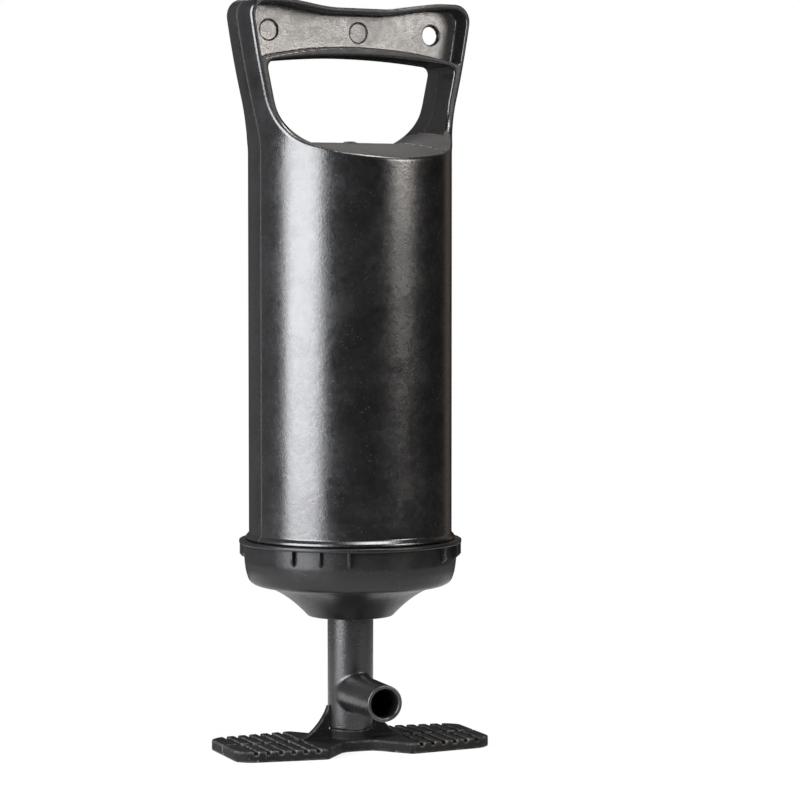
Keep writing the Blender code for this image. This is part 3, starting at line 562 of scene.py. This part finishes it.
def barrel_mesh():
    """The handle's field mesh, sewn to a turned tube."""
    low = (-51.25, -41.25, BARREL_JOIN - 2.25)
    high = (51.25, 41.25, HANDLE_TOP + 1)
    handle = thinned(field_mesh("handle", barrel_field, low, high, HANDLE_CELL), HANDLE_MOST)
    shape = bmesh.new()
    shape.from_mesh(handle)
    outer, inner = cut_rings(shape, BARREL_JOIN, True, ((39.0, 41.0), (37.0, 39.0)))
    profile = [(BARREL_RADIUS, BARREL_JOIN - 1.5)]
    steps = 24
    for i in range(1, steps):
        profile.append((BARREL_RADIUS, BARREL_JOIN - (BARREL_JOIN - BARREL_BOTTOM - 3) * i / steps))
    profile += [
        (BARREL_RADIUS, BARREL_BOTTOM + 2.4, 0.4),
        (BARREL_RADIUS + 1.25, BARREL_BOTTOM + 1.0, 0.5),
        (BARREL_RADIUS + 1.3, BARREL_BOTTOM + 0.1, 0.3),
        (BARREL_BORE, BARREL_BOTTOM + 0.1, 0.2),
        (BARREL_BORE, BARREL_JOIN - 1.5),
    ]
    rows = turn_rows(shape, rounded(profile), even_angles(288))
    zip_rings(shape, outer, rows[0])
    zip_rings(shape, inner, rows[-1])
    return finish_mesh(shape, "barrel_fine", BARREL_TURN)


def shaft_mesh():
    """The spigot's field mesh, sewn to a turned tube."""
    low = (-SHAFT_RADIUS - 1.1, -SPIGOT_REACH - 1.1, SHAFT_BOTTOM - 1.1)
    high = (SHAFT_RADIUS + 1.1, SHAFT_RADIUS + 1.1, SHAFT_JOIN + 2)
    root = field_mesh("shaft_root", shaft_field, low, high, SHAFT_CELL)
    shape = bmesh.new()
    shape.from_mesh(root)
    outer, inner = cut_rings(shape, SHAFT_JOIN, False, ((8, 10), (5, 7.5)))
    profile = [(SHAFT_RADIUS, SHAFT_JOIN + 0.8)]
    steps = 16
    for i in range(1, steps):
        profile.append((SHAFT_RADIUS, SHAFT_JOIN + (SHAFT_TOP - SHAFT_JOIN) * i / steps))
    profile += [
        (SHAFT_RADIUS, SHAFT_TOP, 0.4),
        (SHAFT_BORE, SHAFT_TOP, 0.3),
        (SHAFT_BORE, SHAFT_JOIN + 0.8),
    ]
    rows = turn_rows(shape, rounded(profile), even_angles(160))
    zip_rings(shape, outer, rows[0])
    zip_rings(shape, inner, rows[-1])
    return finish_mesh(shape, "shaft_fine")


def foot_mesh():
    low = (FOOT_LOW.x - 1, FOOT_LOW.y - 1, -1)
    high = (FOOT_HIGH.x + 1, FOOT_HIGH.y + 1, FOOT_HIGH.z + 1)
    mesh = thinned(field_mesh("foot", foot_field, low, high, FOOT_CELL), FOOT_MOST)
    shape = bmesh.new()
    shape.from_mesh(mesh)
    return finish_mesh(shape, "foot_fine")


def bell(radius):
    """Height of the cap's bell-shaped underside."""
    way = (BELL_EDGE[0] - radius) / (BELL_EDGE[0] - BELL_NECK)
    return BELL_EDGE[1] - BELL_DROP * way**BELL_BEND


def cap_profile():
    """Down the outside of the cap and back up inside it, as a closed profile."""
    under = CAP_FLANGE_TOP - 1.5
    profile = [
        (34.0, 90.0, 0.5),
        (37.7, 90.0, 0.6),
        (37.7, 87.6, 0.2),
        (36.0, 87.6, 0.2),
        (36.0, 85.2, 0.2),
        (37.7, 85.2, 0.2),
        (37.7, CAP_FLANGE_TOP, 0.2),
        (CAP_FLANGE, CAP_FLANGE_TOP, 0.55),
        (CAP_FLANGE, under, 0.5),
        (CAP_BAND, under, 0.3),
        (CAP_BAND, RIB_BOTTOM + 3),
        (CAP_BAND, RIB_BOTTOM + 1),
        (CAP_BAND, RIB_BOTTOM),
        (CAP_BAND, RIB_BOTTOM - 0.6),
        (CAP_BAND, 75.0, 0.8),
        (41.2, 70.5, 2.0),
        (39.9, 66.9, 1.3),
        (BELL_EDGE[0], BELL_EDGE[1], 1.2),
    ]
    steps = 14
    for i in range(1, steps + 1):
        radius = BELL_EDGE[0] + (BELL_NECK - BELL_EDGE[0]) * i / steps
        profile.append((radius, bell(radius)))
    lip = SHAFT_RADIUS + 0.6
    profile += [
        (BELL_NECK - 0.5, CAP_BOTTOM, 0.5),
        (lip, CAP_BOTTOM, 0.5),
        (lip, 55.5, 0.2),
        (11.6, 55.5),
        (11.6, 66.0, 0.3),
        (13.0, 66.0, 0.3),
        (13.0, 56.6, 0.5),
        (19.0, 56.6, 0.5),
    ]
    profile += [(r, bell(r) + CAP_WALL) for r in (21.0, 24.0, 27.0, 30.0, 33.0)]
    profile.append((34.0, 70.5, 1.0))
    return rounded(profile, closed=True)


def cap_mesh():
    """The cap is turned, and its small grip ribs are pushed out of its band between close-set columns."""
    ribs = [RIB_TURN + math.pi / 2 * quarter + i * RIB_STEP for quarter in range(4) for i in (-1, 0, 1)]
    beside = [0.0, 0.2, 0.38, 0.47, 0.5, 0.53, 0.6, 0.75]
    angles = [turn + side * off / CAP_BAND for turn in ribs for off in beside for side in (-1, 1)]
    for angle in even_angles(264):
        nearest = min(abs((angle - turn + math.pi) % math.tau - math.pi) for turn in ribs)
        if nearest * CAP_BAND > 1.1:
            angles.append(angle)
    angles = sorted({round(angle % math.tau, 6) for angle in angles})
    profile = cap_profile()
    shape = bmesh.new()
    rows = turn_rows(shape, profile, angles)
    for i in range(len(angles)):
        j = (i + 1) % len(angles)
        shape.faces.new((rows[-1][i], rows[0][i], rows[0][j], rows[-1][j]))
    for row, (radius, height) in zip(rows, profile):
        if abs(radius - CAP_BAND) > 0.4 or not RIB_BOTTOM - 0.1 < height < CAP_FLANGE_TOP:
            continue
        for vert, angle in zip(row, angles):
            off = min(abs((angle - turn + math.pi) % math.tau - math.pi) for turn in ribs) * CAP_BAND
            rib = np.interp(off, (0.38, 0.47, 0.5, 0.53), (1.0, 0.9, 0.5, 0.0))
            foot = np.interp(height, (RIB_BOTTOM, RIB_BOTTOM + 1), (0.55, 1.0))
            out = radius + (RIB_TIP - radius) * rib * foot
            vert.co.x, vert.co.y = out * math.cos(angle), out * math.sin(angle)
    return finish_mesh(shape, "cap_fine", BARREL_TURN)


def cut_cap_ports(cap):
    """Cuts the ring of intake ports through the cap's floor."""
    shape = bmesh.new()
    for i in range(PORT_COUNT):
        turn = CIRCLE_START + BARREL_TURN + math.tau * i / PORT_COUNT
        centre = (PORT_CIRCLE * math.cos(turn), PORT_CIRCLE * math.sin(turn), 55 * MM)
        bmesh.ops.create_cone(
            shape,
            cap_ends=True,
            segments=32,
            radius1=PORT_RADIUS,
            radius2=PORT_RADIUS,
            depth=6 * MM,
            matrix=Matrix.Translation(centre),
        )
    mesh = bpy.data.meshes.new("cap_ports")
    shape.to_mesh(mesh)
    shape.free()
    ports = bpy.data.objects.new("cap_ports", mesh)
    bpy.context.scene.collection.objects.link(ports)
    hole = cap.modifiers.new("ports", "BOOLEAN")
    hole.operation = "DIFFERENCE"
    hole.solver = "EXACT"
    hole.object = ports
    settle(cap)
    bpy.data.objects.remove(ports)


# --- Materials ---


class Graph:
    """A material's node tree, built with short calls. Lengths in it are metres."""

    def __init__(self, name):
        self.material = bpy.data.materials.new(name)
        self.material.use_nodes = True
        self.tree = self.material.node_tree
        self.shader = self.tree.nodes["Principled BSDF"]
        self.place = self.node("ShaderNodeTexCoord").outputs["Object"]

    def put(self, socket, value):
        if isinstance(value, bpy.types.NodeSocket):
            self.tree.links.new(value, socket)
        else:
            socket.default_value = value

    def node(self, kind, inputs=None, **settings):
        made = self.tree.nodes.new(kind)
        for key, value in settings.items():
            setattr(made, key, value)
        for key, value in (inputs or {}).items():
            self.put(made.inputs[key], value)
        return made

    def set(self, **values):
        for key, value in values.items():
            self.put(self.shader.inputs[key.replace("_", " ")], value)

    def stretched(self, x, y, z, turn=0.0):
        inputs = {"Vector": self.place, "Scale": (x, y, z), "Rotation": (0, 0, turn)}
        return self.node("ShaderNodeMapping", inputs).outputs["Vector"]

    def noise(self, scale, detail=2.0, rough=0.5, place=None):
        inputs = {"Vector": place or self.place, "Scale": scale, "Detail": detail, "Roughness": rough}
        return self.node("ShaderNodeTexNoise", inputs).outputs["Fac"]

    def spots(self, scale, place=None):
        inputs = {"Vector": place or self.place, "Scale": scale}
        return self.node("ShaderNodeTexVoronoi", inputs).outputs["Distance"]

    def ramp(self, value, low, high, to_low=0.0, to_high=1.0):
        inputs = {"Value": value, "From Min": low, "From Max": high, "To Min": to_low, "To Max": to_high}
        return self.node("ShaderNodeMapRange", inputs).outputs["Result"]

    def math(self, operation, a, b=0.0):
        return self.node("ShaderNodeMath", {0: a, 1: b}, operation=operation).outputs[0]

    def mix(self, amount, a, b):
        a, b = [(*colour, 1) if isinstance(colour, tuple) else colour for colour in (a, b)]
        inputs = {0: amount, 6: a, 7: b}
        return self.node("ShaderNodeMix", inputs, data_type="RGBA").outputs[2]

    def bump(self, height, distance, strength=1.0, normal=None):
        inputs = {"Height": height, "Distance": distance, "Strength": strength}
        if normal is not None:
            inputs["Normal"] = normal
        return self.node("ShaderNodeBump", inputs).outputs["Normal"]

    def edges(self, low, high):
        """How far a point is on a sharp outer edge."""
        pointy = self.node("ShaderNodeNewGeometry").outputs["Pointiness"]
        return self.ramp(pointy, low, high)


def moulded_black(name, dark, light, smooth, rough, grain=1.0, wear=0.3, shine=0.5, sharp=0.53, seam=False):
    """Black moulded plastic: fine mould grain, uneven gloss, light dust specks and rubbed edges.

    Edges sharper than the given pointiness are rubbed pale. The seam is the barrel's parting line: rougher
    and sunk a little, drawn darker, partly its own colour and partly painted shade of its step, with pale
    flecks of painted glint on the step's edge."""
    g = Graph(name)
    cloud = g.noise(60, 4, 0.6)
    patch = g.noise(420, 3, 0.6)
    speck = g.ramp(g.noise(1900, 2, 0.5), 0.66, 0.76)
    dust = g.math("MULTIPLY", g.ramp(g.spots(650), 0.16, 0.09), g.ramp(g.noise(130, 2), 0.5, 0.62))
    colour = g.mix(cloud, dark, light)
    colour = g.mix(g.math("MULTIPLY", speck, 0.5), colour, tuple(6 * c for c in light))
    colour = g.mix(g.math("MULTIPLY", dust, 0.35), colour, DUST)
    edge = g.math("MULTIPLY", g.edges(sharp, sharp + 0.07), g.ramp(patch, 0.35, 0.6))
    colour = g.mix(g.math("MULTIPLY", edge, wear), colour, RUBBED)
    uneven = g.math("ADD", g.math("MULTIPLY", cloud, 0.6), g.math("MULTIPLY", patch, 0.4))
    gloss = g.ramp(uneven, 0.35, 0.65)
    roughness = g.ramp(gloss, 0, 1, smooth, rough)
    fine = g.bump(g.noise(1600, 3, 0.6), 0.00005 * grain)
    wide = g.bump(g.noise(420, 3, 0.6), 0.00005 * grain, normal=fine)
    if seam:
        turned = g.stretched(1, 1, 1, -BARREL_TURN)
        off = g.node("ShaderNodeSeparateXYZ", {0: turned}).outputs["Y"]
        line = g.ramp(g.math("ABSOLUTE", off), 0.0003, 0.0006, 1, 0)
        seam_glints = g.ramp(g.noise(500, 2), 0.5, 0.62)
        # Along the seam the colour is darker, partly the parting line's own and partly painted shade of its
        # step; the pale flecks are painted glints on the step's edge.
        colour = g.mix(line, colour, (0.001, 0.001, 0.001))
        glint_flecks = g.math("MULTIPLY", g.math("MULTIPLY", line, seam_glints), 0.2)
        colour = g.mix(glint_flecks, colour, (0.05, 0.05, 0.05))
        wide = g.bump(g.math("MULTIPLY", line, -1.0), 0.00002, normal=wide)
        roughness = g.math("MAXIMUM", roughness, g.math("MULTIPLY", line, 0.95))
    g.set(Base_Color=colour, Roughness=roughness, Normal=wide, Specular_IOR_Level=shine)
    return g.material


def plain_moulded(name, dark, light, smooth, rough):
    """Clean moulded plastic, a little paler on its edges."""
    g = Graph(name)
    cloud = g.noise(90, 4, 0.6)
    colour = g.mix(cloud, dark, light)
    grain = g.bump(g.noise(1300, 3, 0.6), 0.00003)
    edge = g.math("MULTIPLY", g.edges(0.52, 0.6), 0.25)
    colour = g.mix(edge, colour, tuple(min(1.0, 1.5 * c) for c in light))
    g.set(Base_Color=colour, Roughness=g.ramp(g.noise(300, 3), 0.3, 0.7, smooth, rough), Normal=grain)
    return g.material


def sheet_rubber(name, dark, light, talc):
    """Rubber with faint moulding streaks and a film of talc left in its low spots."""
    g = Graph(name)
    streak = g.noise(40, 4, 0.6, g.stretched(1, 1, 6))
    film = g.ramp(g.noise(240, 5, 0.7), 0.5, 0.72)
    colour = g.mix(streak, dark, light)
    colour = g.mix(g.math("MULTIPLY", film, talc), colour, TALC)
    grain = g.bump(g.noise(1100, 4, 0.7), 0.00004)
    g.set(Base_Color=colour, Roughness=g.ramp(film, 0, 1, 0.55, 0.85), Normal=grain)
    return g.material


def plated_steel():
    """Zinc-plated screw steel: bright, with fine turning marks and duller patches."""
    g = Graph("screw_steel_looks")
    marks = g.noise(60, 3, 0.6, g.stretched(1, 1, 40))
    patch = g.noise(500, 4, 0.6)
    colour = g.mix(patch, (0.5, 0.5, 0.48), (0.72, 0.72, 0.7))
    g.set(
        Base_Color=colour,
        Metallic=1.0,
        Roughness=g.ramp(patch, 0.3, 0.7, 0.22, 0.42),
        Normal=g.bump(marks, 0.00003),
    )
    return g.material


def dress_cad_nodes():
    """The parts inside keep their CAD shapes, with bevelled edges and a finish for each material slot."""
    near_black = (0.012, 0.012, 0.012)
    grey = ((0.15, 0.15, 0.155), (0.22, 0.22, 0.225))
    white = ((0.66, 0.65, 0.6), (0.78, 0.77, 0.73))
    red = ((0.27, 0.03, 0.02), (0.38, 0.06, 0.035))
    finishes = {
        "grey_plastic": plain_moulded("grey_plastic_looks", *grey, 0.35, 0.5),
        "white_plastic": plain_moulded("white_plastic_looks", *white, 0.25, 0.4),
        "black_plastic": moulded_black("button_looks", near_black, (0.022, 0.022, 0.023), 0.3, 0.42),
        "black_rubber": sheet_rubber("black_rubber_looks", near_black, (0.025, 0.025, 0.024), 0.12),
        "flap_rubber": sheet_rubber("flap_rubber_looks", *red, 0.25),
        "screw_steel": plated_steel(),
    }
    replaced = {"foot_base", "shaft_tube", "barrel", "end_cap"}
    for row in frame["record"]["subparts"]:
        if row["node"] in replaced:
            continue
        made = frame["nodes"][row["node"]]
        made.data.materials.clear()
        made.data.materials.append(finishes[row["material_slot"]])
        bevel = made.modifiers.new("edges", "BEVEL")
        bevel.width = 0.12 * MM
        bevel.segments = 2
        bevel.limit_method = "ANGLE"
        bevel.angle_limit = math.radians(40)
        bevel.harden_normals = True


def mark_handle(mesh, web, rim, end_wall):
    """Gives the grip's flat web, the handle's rim and the up-facing end wall their own finishes. The web's
    pale grey is partly dust and partly painted sheen; the end wall's paler colour is painted light from
    above.
    """
    for finish in (web, rim, end_wall):
        mesh.materials.append(finish)
    across = Matrix.Rotation(-BARREL_TURN, 3, "Z")
    for face in mesh.polygons:
        if face.center.z < HANDLE_START * MM:
            continue
        centre, facing = across @ face.center / MM, across @ face.normal
        off, sideways = abs(centre.y), abs(facing.y)
        # Up-facing faces of the end wall take a paler colour: painted light from above.
        if facing.z > END_WALL_FACING and centre.z < END_WALL_TOP:
            face.material_index = END_WALL_SLOT
        elif sideways > RIM_FACING and off > RIM_INSIDE and centre.z > RIM_START:
            face.material_index = RIM_SLOT
        elif sideways > WEB_FACING and off < WEB_OUTSIDE and centre.z > OPENING_CORNER[1]:
            face.material_index = WEB_SLOT


def make_mouldings():
    """The four fine mouldings with their finishes, each on its node's body."""
    barrel = moulded_black("barrel_looks", BLACK, CHARCOAL, 0.19, 0.32, wear=0.08, shine=1.0, seam=True)
    shell = add_piece("barrel_moulding", barrel_mesh(), "barrel_body", barrel, "barrel")
    # The web's pale grey is partly dust and partly painted sheen of the warm light on the flat web.
    dust_and_sheen = ((0.07, 0.067, 0.063), (0.2, 0.192, 0.182))
    web = moulded_black("web_looks", *dust_and_sheen, 0.22, 0.44, grain=1.8, wear=0.1, shine=1.0)
    rim = moulded_black("rim_looks", BLACK, CHARCOAL, 0.42, 0.6, grain=1.4, wear=0.1, shine=0.6)
    # The end wall is drawn paler than the barrel: painted light falling on its up-facing faces.
    painted_top_light = ((0.025, 0.024, 0.023), (0.085, 0.082, 0.078))
    end_wall = moulded_black("end_wall_looks", *painted_top_light, 0.55, 0.75, grain=1.4, wear=0.0, shine=0.2)
    mark_handle(shell.data, web, rim, end_wall)
    cap = moulded_black("cap_looks", BLACK, CHARCOAL, 0.3, 0.44, wear=0.3, shine=0.45)
    cut_cap_ports(add_piece("end_cap_moulding", cap_mesh(), "barrel_body", cap, "end_cap"))
    shaft = moulded_black("shaft_looks", BLACK, CHARCOAL, 0.22, 0.4, grain=1.6, wear=0.4, shine=0.7)
    add_piece("shaft_moulding", shaft_mesh(), "base", shaft, "shaft_tube")
    trodden = (0.02, 0.02, 0.0195)
    foot = moulded_black(
        "foot_looks", BLACK, trodden, 0.5, 0.7, grain=1.6, wear=0.8, shine=0.1, sharp=0.505
    )
    add_piece("foot_moulding", foot_mesh(), "base", foot, "foot_base")


# --- Stage ---


def make_camera():
    data = bpy.data.cameras.new("camera")
    data.sensor_width = 36.0
    data.lens = LENS
    data.clip_start = 0.05
    data.clip_end = 50
    camera = bpy.data.objects.new("camera", data)
    bpy.context.scene.collection.objects.link(camera)
    camera.location = (
        CAMERA_DISTANCE * math.sin(CAMERA_AZIMUTH),
        -CAMERA_DISTANCE * math.cos(CAMERA_AZIMUTH),
        CAMERA_HEIGHT,
    )
    camera.rotation_euler = (math.pi / 2 - AIM_DOWN, 0, CAMERA_AZIMUTH - AIM_RIGHT)
    bpy.context.scene.camera = camera


def make_floor():
    """A pale disc that gives off most of its own brightness."""
    mesh = bpy.data.meshes.new("floor")
    shape = bmesh.new()
    bmesh.ops.create_circle(shape, cap_ends=True, segments=96, radius=FLOOR_RADIUS)
    shape.to_mesh(mesh)
    shape.free()
    floor = bpy.data.objects.new("floor", mesh)
    bpy.context.scene.collection.objects.link(floor)
    floor.location.z = -FLOOR_DROP
    made = bpy.data.materials.new("floor")
    made.use_nodes = True
    shader = made.node_tree.nodes["Principled BSDF"]
    shader.inputs["Base Color"].default_value = (FLOOR_GREY, FLOOR_GREY, FLOOR_GREY, 1)
    shader.inputs["Roughness"].default_value = 0.9
    shader.inputs["Specular IOR Level"].default_value = 0.0
    shader.inputs["Emission Color"].default_value = (1, 1, 1, 1)
    shader.inputs["Emission Strength"].default_value = FLOOR_GLOW
    mesh.materials.append(made)


def soft_box(name, azimuth, distance, height, wide, tall, radiance, colour):
    """A light that faces the middle of the object. Azimuth is in degrees, from -Y towards +X."""
    azimuth = math.radians(azimuth)
    data = bpy.data.lights.new(name, "AREA")
    data.shape = "RECTANGLE"
    data.size, data.size_y = wide, tall
    data.energy = radiance * math.pi * wide * tall
    data.color = colour
    made = bpy.data.objects.new(name, data)
    bpy.context.scene.collection.objects.link(made)
    made.location = (distance * math.sin(azimuth), -distance * math.cos(azimuth), height)
    tilt = math.atan2(height - LIGHT_AIM, distance)
    made.rotation_euler = (math.pi / 2 - tilt, 0, azimuth)
    made.visible_camera = False


def make_light():
    """A tall cool strip on the left, a warm box to the right in front, a weak warm strip behind on the
    right, a box high behind and one overhead. The room is white to the camera and dim to everything
    else, a little paler behind on the left."""
    for box in SOFT_BOXES:
        soft_box(*box)
    world = bpy.data.worlds.new("studio")
    bpy.context.scene.world = world
    world.use_nodes = True
    tree = world.node_tree
    background = tree.nodes["Background"]
    background.inputs["Color"].default_value = (1, 1, 1, 1)
    way = tree.nodes.new("ShaderNodeTexCoord")
    dot = tree.nodes.new("ShaderNodeVectorMath")
    dot.operation = "DOT_PRODUCT"
    dot.inputs[1].default_value = BACK_LIGHT_WAY
    tree.links.new(way.outputs["Generated"], dot.inputs[0])
    room = tree.nodes.new("ShaderNodeMapRange")
    room.interpolation_type = "SMOOTHSTEP"
    room.inputs["From Min"].default_value = BACK_LIGHT_SPREAD
    room.inputs["From Max"].default_value = 1.0
    room.inputs["To Min"].default_value = ROOM_DIM
    room.inputs["To Max"].default_value = ROOM_PALE
    tree.links.new(dot.outputs["Value"], room.inputs["Value"])
    seen = tree.nodes.new("ShaderNodeLightPath").outputs["Is Camera Ray"]
    strength = tree.nodes.new("ShaderNodeMath")
    strength.operation = "MAXIMUM"
    tree.links.new(seen, strength.inputs[0])
    tree.links.new(room.outputs["Result"], strength.inputs[1])
    tree.links.new(strength.outputs[0], background.inputs["Strength"])


make_camera()
dress_cad_nodes()
make_mouldings()
make_floor()
make_light()
bpy.context.scene.view_settings.view_transform = "Standard"
